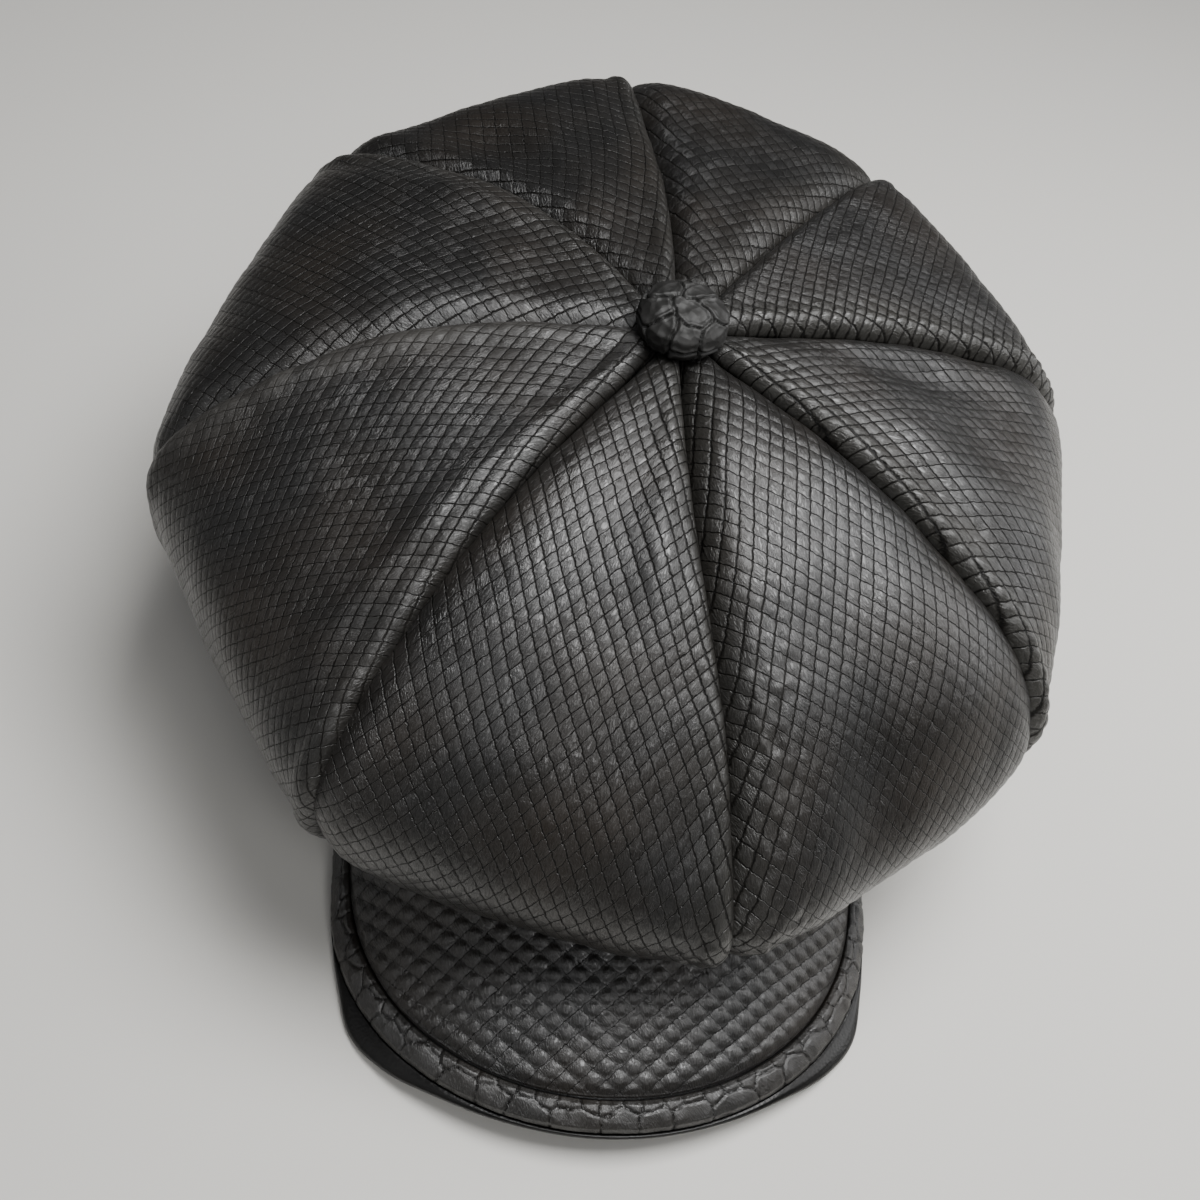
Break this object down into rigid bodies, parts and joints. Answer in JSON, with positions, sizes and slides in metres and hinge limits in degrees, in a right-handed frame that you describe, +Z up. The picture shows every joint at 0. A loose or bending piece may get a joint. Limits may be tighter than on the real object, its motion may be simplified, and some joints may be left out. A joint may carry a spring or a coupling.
{
  "type": "leather cap",
  "caption": "Panelled leather cap with a wide, soft, full crown, a covered button on top, a plain headband and a curved peak with a scaled border.",
  "frame": {"origin": "on the floor under the middle of the bounding box, as the cap rests on its peak's sides and the back of its headband", "axes": "+Z up, -Y the way the peak points, +X the wearer's left"},
  "size_m": [0.2756, 0.3184, 0.1502],
  "materials": {
    "crown_leather": "black scaled snakeskin with a satin sheen",
    "peak_leather": "black snakeskin with bead-like scales, satin",
    "smooth_leather": "smooth black leather, glossy"
  },
  "bodies": {
    "root": {"crown_panel_1": "crown_leather", "crown_panel_2": "crown_leather", "crown_panel_3": "crown_leather", "crown_panel_4": "crown_leather", "crown_panel_5": "crown_leather", "crown_panel_6": "crown_leather", "crown_panel_7": "crown_leather", "crown_panel_8": "crown_leather", "button": "crown_leather", "headband": "smooth_leather", "peak_top": "peak_leather", "peak_border": "peak_leather", "peak_underside": "smooth_leather"}
  },
  "joints": []
}
